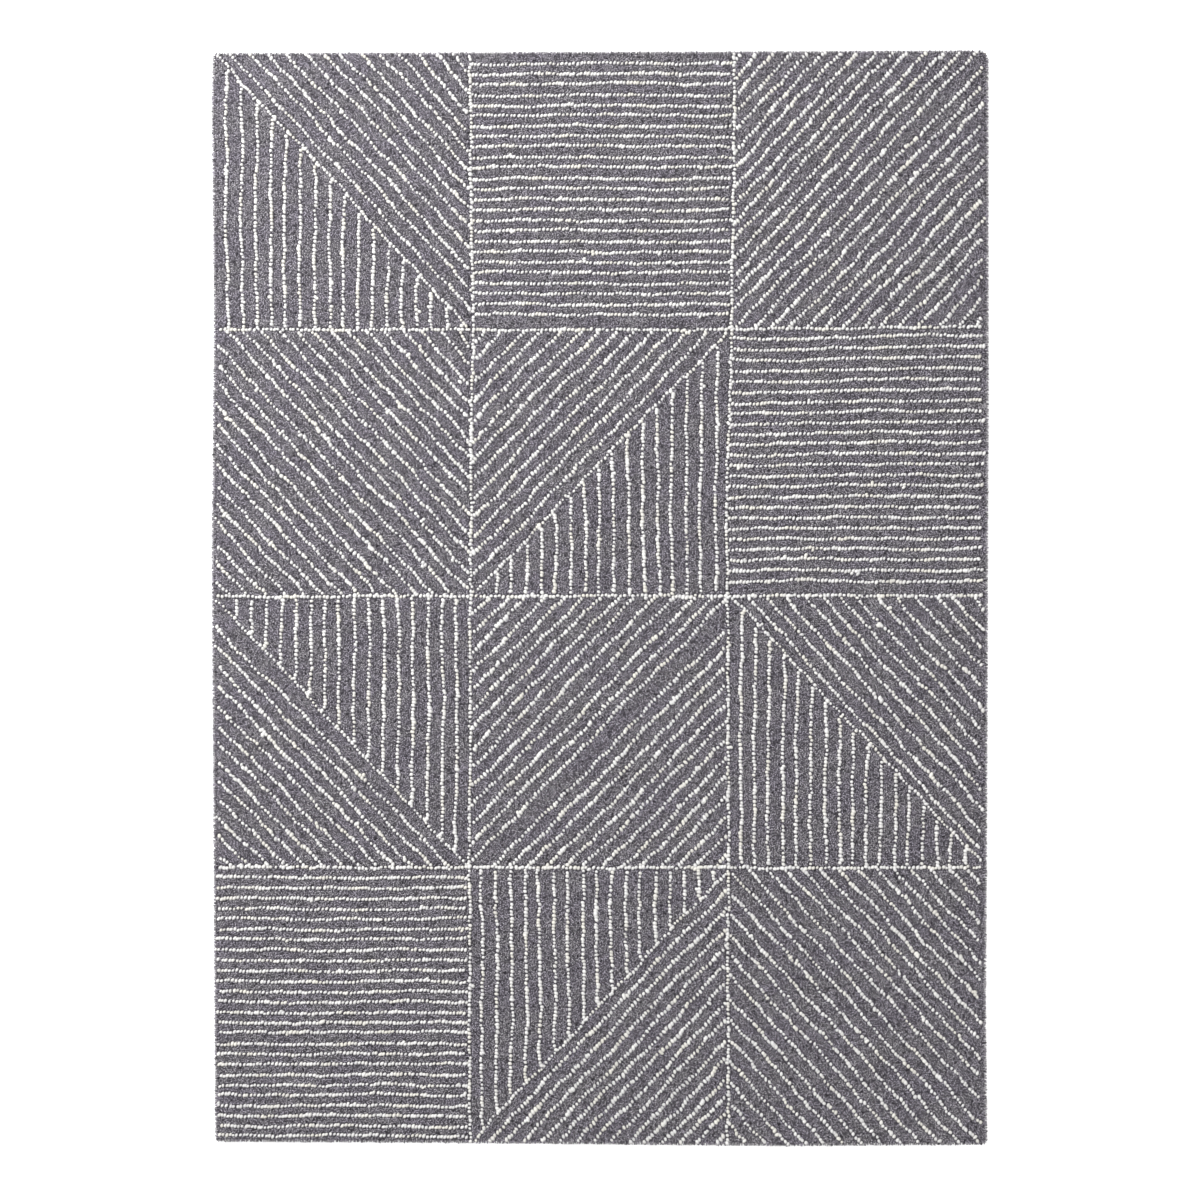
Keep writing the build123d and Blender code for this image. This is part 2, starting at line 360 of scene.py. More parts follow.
def ivory_loop(place, bold, cream, kind, rng):
    """One ivory loop: bigger where the yarn is bold, and warmer where it is cream."""
    lean, lean_spread, stretch, thin, swell, _, _, uneven = BEADS[kind]
    loop = np.zeros(NUMBERS)
    loop[WIDTH] = (thin + swell * bold) * MM * rng.uniform(1 - uneven, 1 + uneven)
    loop[LENGTH] = loop[WIDTH] * (stretch * rng.uniform(1 - uneven, 1 + uneven))
    loop[HEADING] = math.radians(lean + rng.normal(0, lean_spread))
    loop[[X, Y]] = place + rng.normal(0, JITTER * uneven, 2)
    loop[TOP] = PILE_TOP + rng.uniform(*IVORY_TOPS) * MM
    loop[TONE] = np.clip(rng.normal(*IVORY_TONE), 0, 1)
    warmth = WARMTH_LEAST + WARMTH_OF_CREAM * max(cream, 0) + WARMTH_OF_BOLD * bold * rng.uniform(0, 1)
    loop[WARMTH] = np.clip(warmth, 0, 1)
    return loop


def length_along(path):
    """How far along a path each of its points is."""
    steps = np.linalg.norm(np.diff(path, axis=0), axis=1)
    return np.concatenate([[0], np.cumsum(steps)])


def ivory_loops(path, kind, rng):
    """Ivory loops strung along a path. Where the yarn is bold they are bigger and crowd together."""
    s = length_along(path)
    pitch, boldness, uneven = BEADS[kind][-3:]
    bold_wave = boldness_along(s, rng)
    cream_wave = sway(s, CREAM_WAVES, rng)
    found = []
    at = rng.uniform(0, FIRST_LOOP)
    while at < s[-1]:
        bold = float(np.clip(boldness + BOLD_SHARE * np.interp(at, s, bold_wave), 0, 1))
        place = np.interp(at, s, path[:, 0]), np.interp(at, s, path[:, 1])
        loop = ivory_loop(place, bold, np.interp(at, s, cream_wave), kind, rng)
        found.append(loop)
        if rng.random() < DOUBLED:
            second = loop.copy()
            second[[X, Y]] += rng.normal(0, loop[WIDTH] / 3, 2)
            found.append(second)
        at += (pitch * MM - CROWDING * (bold - 0.5)) * rng.uniform(1 - uneven, 1 + uneven)
    return np.array(found)


# A map of where the ivory loops stand, which reaches a little past the rug
MASK_STEP = 1 * MM
MASK_MARGIN = 20 * MM
MASK_REACH = 7  # steps, more than the radius of any ivory loop
IVORY_CLEARANCE = 0.9 * MM
mask_shape = [int(2 * (half + MASK_MARGIN) / MASK_STEP) for half in (HALF_WIDTH, HALF_LENGTH)]
ivory_mask = np.zeros(mask_shape, bool)


def mask_index(x, y):
    """Where these places are in the map."""
    i = ((x + HALF_WIDTH + MASK_MARGIN) / MASK_STEP).astype(int)
    j = ((y + HALF_LENGTH + MASK_MARGIN) / MASK_STEP).astype(int)
    return i, j


def mark_ivory(loops):
    """Keeps the ground off the place of these ivory loops."""
    radius = (loops[:, LENGTH] + loops[:, WIDTH]) / 4 + IVORY_CLEARANCE
    i, j = mask_index(loops[:, X], loops[:, Y])
    for di in range(-MASK_REACH, MASK_REACH + 1):
        for dj in range(-MASK_REACH, MASK_REACH + 1):
            near = math.hypot(di, dj) * MASK_STEP <= radius
            ivory_mask[i[near] + di, j[near] + dj] = True


def edge_distance(x, y):
    """How far inside the rug's outline a point is. The corners are rounded."""
    loose = (x > 0) & (y > 0)
    radius = np.where(loose, LOOSE_CORNER, CORNER)
    dx = HALF_WIDTH - np.abs(x)
    dy = HALF_LENGTH - np.abs(y)
    in_corner = (dx < radius) & (dy < radius)
    rounded = radius - np.hypot(radius - dx, radius - dy)
    return np.where(in_corner, rounded, np.minimum(dx, dy))


def beyond_diagonal(cell, slope, x, y):
    """True above the diagonal of a cell."""
    (x0, y0), (x1, y1) = diagonal(cell, slope)
    return y > y0 + (y1 - y0) * (x - x0) / (x1 - x0)


GROUND_PITCH = 3.7 * MM
ROW_SHARE = 0.98  # how far apart the rows are, as a share of the pitch
ALONG_JITTER, ACROSS_JITTER = 0.8 * MM, 0.6 * MM


def ground_grid(cell, angle, rng):
    """Jittered places on rows that run at that angle over a cell."""
    west, south, east, north = cell
    reach = math.hypot(east - west, north - south) / 2 + GROUND_PITCH
    ticks = np.arange(-reach, reach, GROUND_PITCH)
    along, across = np.meshgrid(ticks, ticks * ROW_SHARE)
    along = along + (np.arange(len(ticks))[:, None] % 2) * GROUND_PITCH / 2
    along = along + rng.normal(0, ALONG_JITTER, along.shape)
    across = across + rng.normal(0, ACROSS_JITTER, across.shape)
    c, s = math.cos(angle), math.sin(angle)
    x = (west + east) / 2 + along * c - across * s
    y = (south + north) / 2 + along * s + across * c
    x, y = x.ravel(), y.ravel()
    inside = (x > west) & (x <= east) & (y > south) & (y <= north)
    return x[inside], y[inside]


def ground_angle(cell, slope):
    """The angle of a cell's diagonal from +X."""
    west, south, east, north = cell
    angle = math.atan2(north - south, east - west)
    return angle if slope == "rising" else -angle


# A painted highlight on the yarn beside the west and east sides: its strength, and how far inward it
# reaches
SIDE_HIGHLIGHT = 0.1
SIDE_HIGHLIGHT_REACH = 6 * MM


def painted_side_highlight(x):
    """Painted highlight: how much lighter the yarn's tone is made beside the rug's sides, where it leans
    outward.
    """
    return SIDE_HIGHLIGHT * np.exp(-np.maximum(HALF_WIDTH - np.abs(x), 0) / SIDE_HIGHLIGHT_REACH)


# The ground's loops: how far they turn from the tufting in radians, how long and how wide they
# are, how far below the pile's top they end and how far they bend, in millimetres
GROUND_TURN = 1.1
GROUND_LENGTHS = (5.0, 7.0)
GROUND_WIDTHS = (2.6, 3.5)
GROUND_DROPS = (0.3, 2.0)
GROUND_BEND = 0.5
GROUND_TONE = (0.5, 0.21)  # mean and spread
TINT_SPREAD = 0.12


def ground_rows(x, y, angle, rng):
    """Ground loops at these places, most of them roughly in line with the tufting."""
    n = len(x)
    loops = np.zeros((n, NUMBERS))
    loops[:, X], loops[:, Y] = x, y
    loops[:, HEADING] = angle + rng.normal(0, GROUND_TURN, n)
    loops[:, LENGTH] = rng.uniform(*GROUND_LENGTHS, n) * MM
    loops[:, WIDTH] = rng.uniform(*GROUND_WIDTHS, n) * MM
    loops[:, TOP] = PILE_TOP - rng.uniform(*GROUND_DROPS, n) * MM
    loops[:, BEND] = rng.normal(0, GROUND_BEND, n) * MM
    # the tone carries a painted highlight beside the rug's sides
    loops[:, TONE] = np.clip(rng.normal(*GROUND_TONE, n) + painted_side_highlight(x), 0, 1)
    loops[:, WARMTH] = np.clip(patch_of(x, y) + rng.normal(0, TINT_SPREAD, n), 0, 1)
    return loops


PATCH_COUNT = 14
PATCH_LENGTHS = (35, 190)  # the waves' lengths, in millimetres
PATCH_SCALE = 8  # brings their sum to about -0.5 to 0.5

patch_rng = np.random.default_rng(PATCH_SEED)
patch_waves = [
    (patch_rng.uniform(*ANY_PHASE), patch_rng.uniform(*PATCH_LENGTHS) * MM, patch_rng.uniform(*ANY_PHASE))
    for _ in range(PATCH_COUNT)
]


def patch_of(x, y):
    """Slow patches of neutral and violet grey over the whole rug, from about 0 to 1."""
    total = np.zeros_like(x)
    for angle, length, phase in patch_waves:
        total += np.sin(2 * math.pi * (x * math.cos(angle) + y * math.sin(angle)) / length + phase)
    return 0.5 + total / PATCH_SCALE


UPRIGHT = math.pi / 2
RIM = 6.5 * MM  # the outermost loops follow the edge
RIM_PITCH = 3.9 * MM
RIM_JITTER = 0.5 * MM
RIM_TURN = 0.3  # radians
RIM_DROP_SPREAD = 0.9  # millimetres
RIM_LONGER = 1.2 * MM  # than the loops of the ground
CORNER_STEPS = 8

# The rows of loops round the rim: how far inside the outline they stand, how far down their tops
# lie in millimetres, and how high their roots are
RIMS = ((1.9 * MM, 2.6, 1.2 * MM), (4.6 * MM, 1.0, PILE_FLOOR))


def tile_ground(key, rng):
    """The ground loops of one tile, but for the rim."""
    cell, spec = CELLS[key], PATTERN[key]
    angle = 0 if "rows" in spec else ground_angle(cell, spec["slope"])
    x, y = ground_grid(cell, angle, rng)
    loops = ground_rows(x, y, angle, rng)
    if "above" in spec or "below" in spec:
        kept = beyond_diagonal(cell, spec["slope"], x, y) == ("below" in spec)
        x, y = ground_grid(cell, UPRIGHT, rng)
        upright = beyond_diagonal(cell, spec["slope"], x, y) == ("above" in spec)
        uprights = ground_rows(x[upright], y[upright], UPRIGHT, rng)
        loops = np.concatenate([loops[kept], uprights])
    clear = edge_distance(loops[:, X], loops[:, Y]) > RIM
    i, j = mask_index(loops[:, X], loops[:, Y])
    return loops[clear & ~ivory_mask[i, j]]


def rim_path(inset):
    """Points round the rug, that far inside its outline."""
    points = []
    for sx, sy in ((1, 1), (-1, 1), (-1, -1), (1, -1)):
        radius = LOOSE_CORNER if (sx, sy) == (1, 1) else CORNER
        start = math.atan2(sy, sx) - math.pi / 4
        for k in range(CORNER_STEPS + 1):
            angle = start + math.pi / 2 * k / CORNER_STEPS
            reach = radius - inset
            x = sx * (HALF_WIDTH - radius) + reach * math.cos(angle)
            y = sy * (HALF_LENGTH - radius) + reach * math.sin(angle)
            points.append((x, y))
    points.append(points[0])
    return np.array(points)


def rim_loops(inset, drop, rng):
    """Loops side by side along the edge, rolled over it. Drop is how far their tops lie down."""
    path = rim_path(inset)
    s = length_along(path)
    at = np.arange(0, s[-1], RIM_PITCH)
    at = at + rng.normal(0, RIM_JITTER, len(at))
    x, y = np.interp(at, s, path[:, 0]), np.interp(at, s, path[:, 1])
    ahead_x, ahead_y = np.interp(at + MM, s, path[:, 0]), np.interp(at + MM, s, path[:, 1])
    loops = ground_rows(x, y, 0, rng)
    outward = np.arctan2(ahead_y - y, ahead_x - x) - math.pi / 2
    loops[:, HEADING] = outward + rng.normal(0, RIM_TURN, len(x))
    loops[:, TOP] = PILE_TOP - (drop + rng.uniform(0, RIM_DROP_SPREAD, len(x))) * MM
    loops[:, LENGTH] += RIM_LONGER
    loops[:, X] += rng.normal(0, RIM_JITTER, len(x))
    loops[:, Y] += rng.normal(0, RIM_JITTER, len(x))
    return loops


def in_cell(loops, cell):
    """The loops in a cell, and those past the rug's sides that the cell touches."""
    halves = HALF_WIDTH, HALF_LENGTH, HALF_WIDTH, HALF_LENGTH
    west, south, east, north = (
        side if abs(side) < half else math.copysign(math.inf, side) for side, half in zip(cell, halves)
    )
    x, y = loops[:, X], loops[:, Y]
    return loops[(x > west) & (x <= east) & (y > south) & (y <= north)]


# -------------------- meshes

# A template is one loop that is 1 long, wide and high: its points, how near each is to the top of the
# yarn (which sets the painted shade of the yarn there), its faces, and where each point is along the
# loop, from -1 to 1

RIDGE_ROUNDNESS = 0.96  # at 1 its ends would come down to its foot
RIDGE_LEAST_WIDTH = 0.12  # the square of its width at its ends
RIDGE_SIDE_RISE = 0.25  # the height of its sides, as a share of its own
# low, so that the ridge's sides take painted shade
RIDGE_SIDE_DEPTH = 0.2


def ridge_template(places):
    """A ridge with points at these places along it, three across: the arch of one loop."""
    points, depth = [], []
    for u in places:
        rise = math.sqrt(max(0.0, 1 - RIDGE_ROUNDNESS * u * u))
        half = 0.5 * math.sqrt(max(RIDGE_LEAST_WIDTH, 1 - u * u))
        for side in (-1, 0, 1):
            points.append((u / 2, side * half, rise if side == 0 else rise * RIDGE_SIDE_RISE))
            depth.append(rise if side == 0 else RIDGE_SIDE_DEPTH)
    faces = []
    for k in range(len(places) - 1):
        a, b = 3 * k, 3 * (k + 1)
        faces += [(a, b, b + 1, a + 1), (a + 1, b + 1, b + 2, a + 2)]
    return np.array(points), np.array(depth), np.array(faces), np.repeat(places, 3)


DOME_SIDES = 8
DOME_RINGS = ((0.0, 1.0), (0.5, 0.97), (0.84, 0.66))  # height and width of each
# the depth at the dome's foot, low so that it takes painted shade
DOME_FOOT_DEPTH = 0.25


def dome_template():
    """A rounded upright loop: rings of points under one top point."""
    points, depth = [], []
    for z, width in DOME_RINGS:
        for k in range(DOME_SIDES):
            angle = 2 * math.pi * k / DOME_SIDES
            points.append((0.5 * width * math.cos(angle), 0.5 * width * math.sin(angle), z))
            depth.append(DOME_FOOT_DEPTH + (1 - DOME_FOOT_DEPTH) * z)
    points.append((0, 0, 1))
    depth.append(1.0)
    faces = []
    for ring in range(len(DOME_RINGS) - 1):
        for k in range(DOME_SIDES):
            a, b = ring * DOME_SIDES + k, ring * DOME_SIDES + (k + 1) % DOME_SIDES
            faces.append((a, b, b + DOME_SIDES, a + DOME_SIDES))
    top = len(points) - 1
    last = top - DOME_SIDES
    faces += [(last + k, last + (k + 1) % DOME_SIDES, top, top) for k in range(DOME_SIDES)]
    return np.array(points), np.array(depth), np.array(faces), np.zeros(len(points))


def loop_mesh(loops, template, floor, lumps=0.0):
    """Vertices, faces and per-vertex yarn values of a template set at every loop."""
    points, depth, faces, along = template
    n, v = len(loops), len(points)
    rng = np.random.default_rng(n)
    local_x = points[:, 0] * loops[:, LENGTH, None] * (1 + rng.normal(0, lumps, (n, v)))
    local_y = points[:, 1] * loops[:, WIDTH, None] * (1 + rng.normal(0, lumps, (n, v)))
    local_y = local_y + loops[:, BEND, None] * (1 - along**2)
    c, s = np.cos(loops[:, HEADING, None]), np.sin(loops[:, HEADING, None])
    out = np.empty((n, v, 3))
    out[:, :, 0] = loops[:, X, None] + local_x * c - local_y * s
    out[:, :, 1] = loops[:, Y, None] + local_x * s + local_y * c
    out[:, :, 2] = floor + points[:, 2] * (loops[:, TOP, None] - floor)
    yarn = np.ones((n, v, 4))
    yarn[:, :, 0] = loops[:, TONE, None]
    yarn[:, :, 1] = depth
    yarn[:, :, 2] = loops[:, WARMTH, None]
    all_faces = faces + (np.arange(n) * v)[:, None, None]
    return out.reshape(-1, 3), all_faces.reshape(-1, 4), yarn.reshape(-1, 4)


def slab_mesh(west, east, ys, z0, z1, columns):
    """A closed slab whose west and east sides may differ at each y."""
    rows, cols = len(ys), columns + 1
    u = np.linspace(0, 1, cols)
    x = west[:, None] + (east - west)[:, None] * u[None, :]
    y = np.repeat(ys[:, None], cols, 1)
    layers = [np.stack([x, y, np.full_like(x, z)], 2).reshape(-1, 3) for z in (z1, z0)]
    index = np.arange(rows * cols).reshape(rows, cols)
    a, b = index[:-1, :-1].ravel(), index[:-1, 1:].ravel()
    c, d = index[1:, 1:].ravel(), index[1:, :-1].ravel()
    n = rows * cols
    top = np.stack([a, b, c, d], 1)
    bottom = np.stack([d, c, b, a], 1) + n
    ring = np.concatenate([index[0, :], index[1:, -1], index[-1, -2::-1], index[-2:0:-1, 0]])
    nxt = np.roll(ring, -1)
    wall = np.stack([nxt, ring, ring + n, nxt + n], 1)
    return np.concatenate(layers), np.concatenate([top, bottom, wall])


def strayed(points):
    """Points moved as the rug's sides stray from straight."""
    x, y = points[:, 0], points[:, 1]
    moved = points.copy()
    for table, along, across, side, half, axis in (
        (NORTH_STRAY, x, y, 1, HALF_LENGTH, 1),
        (SOUTH_STRAY, x, y, -1, HALF_LENGTH, 1),
        (EAST_STRAY, y, x, 1, HALF_WIDTH, 0),
        (WEST_STRAY, y, x, -1, HALF_WIDTH, 0),
    ):
        near = np.clip(1 - (half - side * across) / STRAY_REACH, 0, 1)
        moved[:, axis] += side * course(table, along) * near
    return moved


def make_piece(name, points, faces, material, yarn=None, smooth=True):
    """A mesh object from arrays. A face whose last two points are the same is a triangle."""
    points = strayed(points)
    mesh = bpy.data.meshes.new(name)
    mesh.vertices.add(len(points))
    mesh.vertices.foreach_set("co", np.asarray(points, np.float32).ravel())
    is_quad = faces[:, 2] != faces[:, 3]
    totals = np.where(is_quad, 4, 3).astype(np.int32)
    used = np.ones(faces.shape, bool)
    used[:, 3] = is_quad
    corners = faces[used].astype(np.int32)
    starts = np.concatenate([[0], np.cumsum(totals)[:-1]]).astype(np.int32)
    mesh.loops.add(len(corners))
    mesh.loops.foreach_set("vertex_index", corners)
    mesh.polygons.add(len(totals))
    mesh.polygons.foreach_set("loop_start", starts)
    mesh.polygons.foreach_set("loop_total", totals)
    mesh.polygons.foreach_set("use_smooth", np.full(len(totals), smooth))
    if yarn is not None:
        layer = mesh.attributes.new("yarn", "FLOAT_COLOR", "POINT")
        layer.data.foreach_set("color", yarn.astype(np.float32).ravel())
    mesh.update()
    mesh.validate()
    mesh.materials.append(material)
    piece = bpy.data.objects.new(name, mesh)
    bpy.context.scene.collection.objects.link(piece)
    return piece


def joined(parts):
    """Several (points, faces, yarn) as one."""
    points, faces, yarns = zip(*parts)
    firsts = np.cumsum([0] + [len(p) for p in points[:-1]])
    faces = [own + first for own, first in zip(faces, firsts)]
    return np.concatenate(points), np.concatenate(faces), np.concatenate(yarns)


# -------------------- materials


class Nodes:
    """A material's node tree, with short calls to add and join nodes."""

    def __init__(self, name, roughness, sheen=0.0, sheen_roughness=0.5, specular=0.2):
        self.material = bpy.data.materials.new(name)
        self.material.use_nodes = True
        self.tree = self.material.node_tree
        self.shader = self.tree.nodes["Principled BSDF"]
        self.shader.inputs["Roughness"].default_value = roughness
        self.shader.inputs["Sheen Weight"].default_value = sheen
        self.shader.inputs["Sheen Roughness"].default_value = sheen_roughness
        self.shader.inputs["Specular IOR Level"].default_value = specular

    def node(self, kind, **settings):
        """A new node of a kind."""
        made = self.tree.nodes.new(kind)
        for key, value in settings.items():
            setattr(made, key, value)
        return made

    def link(self, source, target):
        """Joins an output to an input."""
        self.tree.links.new(source, target)

    def value(self, target, source):
        """Sets a socket to a number or colour, or joins another socket to it."""
        if isinstance(source, bpy.types.NodeSocket):
            self.link(source, target)
        else:
            target.default_value = source

    def math(self, operation, a, b=0.0):
        """A number worked out from one or two others."""
        made = self.node("ShaderNodeMath", operation=operation)
        self.value(made.inputs[0], a)
        self.value(made.inputs[1], b)
        return made.outputs[0]

    def mix(self, factor, a, b, blend="MIX"):
        """One colour mixed with another."""
        made = self.node("ShaderNodeMix", data_type="RGBA", blend_type=blend)
        self.value(made.inputs[0], factor)
        self.value(made.inputs[6], a)
        self.value(made.inputs[7], b)
        return made.outputs[2]

    def ramp(self, source, low, high, out_low=0.0, out_high=1.0):
        """Maps one range onto another."""
        made = self.node("ShaderNodeMapRange")
        self.link(source, made.inputs[0])
        for i, number in enumerate((low, high, out_low, out_high)):
            made.inputs[i + 1].default_value = number
        return made.outputs[0]

    def place(self):
        """Where a point is on its piece, at rest."""
        return self.node("ShaderNodeTexCoord").outputs["Object"]

    def noise(self, scale, detail, stretch=(1, 1, 1)):
        """Noise, finer along an axis with a larger stretch."""
        mapping = self.node("ShaderNodeMapping")
        mapping.inputs["Scale"].default_value = stretch
        self.link(self.place(), mapping.inputs["Vector"])
        made = self.node("ShaderNodeTexNoise")
        made.inputs["Scale"].default_value = scale
        made.inputs["Detail"].default_value = detail
        self.link(mapping.outputs[0], made.inputs["Vector"])
        return made.outputs[0]

    def bump(self, height, strength, distance):
        """Makes the surface look raised by a height."""
        made = self.node("ShaderNodeBump")
        made.inputs["Strength"].default_value = strength
        made.inputs["Distance"].default_value = distance
        self.link(height, made.inputs["Height"])
        self.link(made.outputs[0], self.shader.inputs["Normal"])

    def color(self, source):
        """Sets the colour of the material."""
        self.value(self.shader.inputs["Base Color"], source)


def rgb(red, green, blue):
    """An sRGB colour, each part from 11 to 255, as the linear one that the shader takes."""
    linear = [((part / 255 + 0.055) / 1.055) ** 2.4 for part in (red, green, blue)]
    return (*linear, 1.0)


NOISE_RANGE = (0.3, 0.7)  # where most of a noise lies
FIBRES = 1400.0  # to the metre
FIBRE_SHADE = (-0.22, 0.22)
TINTING, TINT_SHARE = 0.85, 0.75  # how much warmth counts, and how far it tints
SHADE_DEPTHS = (0.2, 0.95)  # painted shade: below the first the yarn is darkened by the whole root colour, and above the last not at all


def wool(name, dark, light, tint, root, roughness, sheen):
    """Yarn whose tone and tint come from each loop, darkened towards its root by painted shade, with fine
    fibres.
    """
    m = Nodes(name, roughness, sheen=sheen, sheen_roughness=0.6, specular=0.08)
    yarn = m.node("ShaderNodeAttribute", attribute_name="yarn")
    split = m.node("ShaderNodeSeparateColor")
    m.link(yarn.outputs["Color"], split.inputs[0])
    tone, depth, warmth = split.outputs[0], split.outputs[1], split.outputs[2]
    fibre = m.noise(FIBRES, 3.0)
    shade = m.math("ADD", tone, m.ramp(fibre, *NOISE_RANGE, *FIBRE_SHADE))
    base = m.mix(shade, dark, light)
    tinted = m.mix(TINT_SHARE, base, tint, "MULTIPLY")
    base = m.mix(m.math("MULTIPLY", warmth, TINTING), base, tinted)
    # painted shade: the root colour darkens the yarn where it lies deep, at the foot of each loop
    m.color(m.mix(m.ramp(depth, *SHADE_DEPTHS), m.mix(1.0, base, root, "MULTIPLY"), base))
    m.bump(fibre, 0.5, 0.4 * MM)
    return m.material


SLUBS, SLUB_STRETCH = 260.0, (1, 0.12, 1)
SLUB_SHADE = (-0.3, 0.3)
STAINS = 7.0
STAIN_RANGE, STAIN_SHADE = (0.52, 0.72), (0, 0.5)


def woven(name, warp, weft, thread, roughness=0.9, stain=None):
    """Plain-woven cloth: threads cross over and under, with slubs and a few stains."""
    m = Nodes(name, roughness, sheen=0.15, specular=0.15)
    place = m.node("ShaderNodeSeparateXYZ")
    m.link(m.place(), place.inputs[0])
    turns = math.pi / thread
    wave_x = m.math("SINE", m.math("MULTIPLY", place.outputs[0], turns))
    wave_y = m.math("SINE", m.math("MULTIPLY", place.outputs[1], turns))
    over = m.math("MULTIPLY", wave_x, wave_y)
    slub = m.noise(SLUBS, 3.0, SLUB_STRETCH)
    shade = m.math("ADD", m.ramp(over, -1, 1), m.ramp(slub, *NOISE_RANGE, *SLUB_SHADE))
    base = m.mix(shade, warp, weft)
    if stain:
        base = m.mix(m.ramp(m.noise(STAINS, 4.0), *STAIN_RANGE, *STAIN_SHADE), base, stain)
    m.color(base)
    height = m.math("ADD", m.math("ABSOLUTE", over), m.math("MULTIPLY", slub, 0.6))
    m.bump(height, 0.6, 0.4 * MM)
    return m.material


def rubbery(name, color, dark):
    """Dried latex: uneven, slightly glossy, brushed on along X."""
    m = Nodes(name, 0.45, specular=0.4)
    streak = m.noise(60.0, 4.0, (0.3, 1, 1))
    m.color(m.mix(streak, color, dark))
    m.bump(streak, 0.5, 0.6 * MM)
    return m.material


# Each wool's root colour is painted shade, which darkens its yarn towards the foot of each loop
MATERIALS = {
    "ground_wool": wool(
        "ground_wool",
        dark=rgb(36, 34, 38),
        light=rgb(217, 214, 218),
        tint=rgb(238, 233, 248),
        root=rgb(144, 141, 147),
        roughness=0.95,
        sheen=0.06,
    ),
    "ivory_wool": wool(
        "ivory_wool",
        dark=rgb(200, 199, 200),
        light=rgb(230, 229, 229),
        tint=rgb(250, 246, 230),
        root=rgb(128, 125, 122),
        roughness=0.9,
        sheen=0.08,
    ),
    "tufting_cloth": woven("tufting_cloth", rgb(158, 150, 136), rgb(186, 180, 166), 1.2 * MM),
    "latex": rubbery("latex", rgb(196, 186, 158), rgb(168, 156, 126)),
    "backing_cloth": woven(
        "backing_cloth", rgb(160, 151, 134), rgb(196, 188, 172), 1.6 * MM, stain=rgb(158, 145, 118)
    ),
    "tape_cloth": woven("tape_cloth", rgb(146, 138, 123), rgb(182, 174, 158), 0.9 * MM),
    "stitch_thread": woven("stitch_thread", rgb(206, 200, 184), rgb(230, 226, 214), 0.5 * MM),
    "label_cloth": woven("label_cloth", rgb(226, 224, 218), rgb(242, 241, 238), 0.3 * MM, roughness=0.6),
}


# -------------------- building the pieces

SHORT_RIDGE = ridge_template((-1.0, 0.0, 1.0))
RIDGE = ridge_template((-1.0, -0.62, 0.0, 0.62, 1.0))
DOME = dome_template()
IVORY_LUMPS = 0.08
GROUND_ROOT = PILE_FLOOR + 2.0 * MM
BED_TOP = PILE_FLOOR + 2.6 * MM
BED_INSET = 4.5 * MM
BED_YARN = (0.35, 0.15, 0.5, 1.0)  # its tone, depth and warmth; the low tone and depth paint it dark with shade

# Into how many columns each slab is divided
BED_COLUMNS, LAYER_COLUMNS, CLOTH_COLUMNS, TAPE_COLUMNS, LABEL_COLUMNS = 24, 40, 60, 4, 12


def add_piece(node, ending, row, slot, points, faces, yarn=None, smooth=True):
    """A piece that stands for a CAD node, which it hides. A piece of row 2 is attached to that row's
    body; any other is left in place.
    """
    piece = make_piece(f"{node}_{ending}", points, faces, MATERIALS[slot], yarn, smooth)
    if row in BENDS:
        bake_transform(piece)
    else:
        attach(piece, "row_2")
    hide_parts(node)
    return piece


def outline_half_width(y, east, inset):
    """Half the rug's width at y, on its east or west side, where the corners narrow it."""
    radius = np.where((y > 0) & east, LOOSE_CORNER, CORNER)
    short = HALF_LENGTH - np.abs(y)
    deep = np.clip(radius - short, 0, radius)
    return HALF_WIDTH - inset - (radius - np.sqrt(np.maximum(radius**2 - deep**2, 0)))


STATION_STEP = 30 * MM
END_FOLD_STATIONS = (12 * MM, 1 * MM)  # how far from the fold's line, and how far apart
MIDDLE_FOLD_STATIONS = (90 * MM, 4 * MM)
END_REACH, END_STATIONS = 20 * MM, 27  # round each end of the rug
SAME_PLACE = 6  # decimals of a metre


def stations(south, north):
    """Places along Y, closer together beside the folds and the rug's ends."""
    found = list(np.linspace(south, north, max(2, int((north - south) / STATION_STEP))))
    close = []
    for name, line in FOLDS.items():
        reach, step = MIDDLE_FOLD_STATIONS if name == "middle_fold" else END_FOLD_STATIONS
        close += list(np.arange(line - reach, line + reach, step))
    for end in (-HALF_LENGTH, HALF_LENGTH):
        close += list(np.linspace(end - END_REACH, end + END_REACH, END_STATIONS))
    found += [y for y in close if south < y < north]
    return np.array(sorted({round(y, SAME_PLACE) for y in found}))


def make_bed(key):
    """The yarn below the tops of the loops, as one slab, dark with painted shade."""
    west, south, east, north = CELLS[key]
    south = max(south, -HALF_LENGTH + BED_INSET)
    north = min(north, HALF_LENGTH - BED_INSET)
    ys = stations(south, north)
    left = np.maximum(west, -outline_half_width(ys, False, BED_INSET))
    right = np.minimum(east, outline_half_width(ys, True, BED_INSET))
    points, faces = slab_mesh(left, right, ys, PILE_FLOOR, BED_TOP, BED_COLUMNS)
    return points, faces, np.tile(BED_YARN, (len(points), 1))


def make_ground(key, rims):
    """The ground of one tile: the bed, the loops in it and the stretch of rim beside it."""
    row, column = key
    rng = np.random.default_rng(GROUND_SEED + 10 * row + column)
    loops = tile_ground(key, rng)
    edge = [loop_mesh(in_cell(rim, CELLS[key]), RIDGE, floor) for rim, floor in rims]
    parts = [make_bed(key), loop_mesh(loops, SHORT_RIDGE, GROUND_ROOT), *edge]
    add_piece(f"ground_pile_r{row}c{column}", "loops", row, "ground_wool", *joined(parts))


GRID_WAVES = ((0.9 * MM, 420 * MM), (0.8 * MM, 150 * MM), (0.6 * MM, 50 * MM), (0.4 * MM, 21 * MM))
GRID_WEST_LAND = 13 * MM  # how far inside the west side the lines across the rug end
BAND_OF_ROW_LINE = {1: 2, 2: 2, 3: 3}


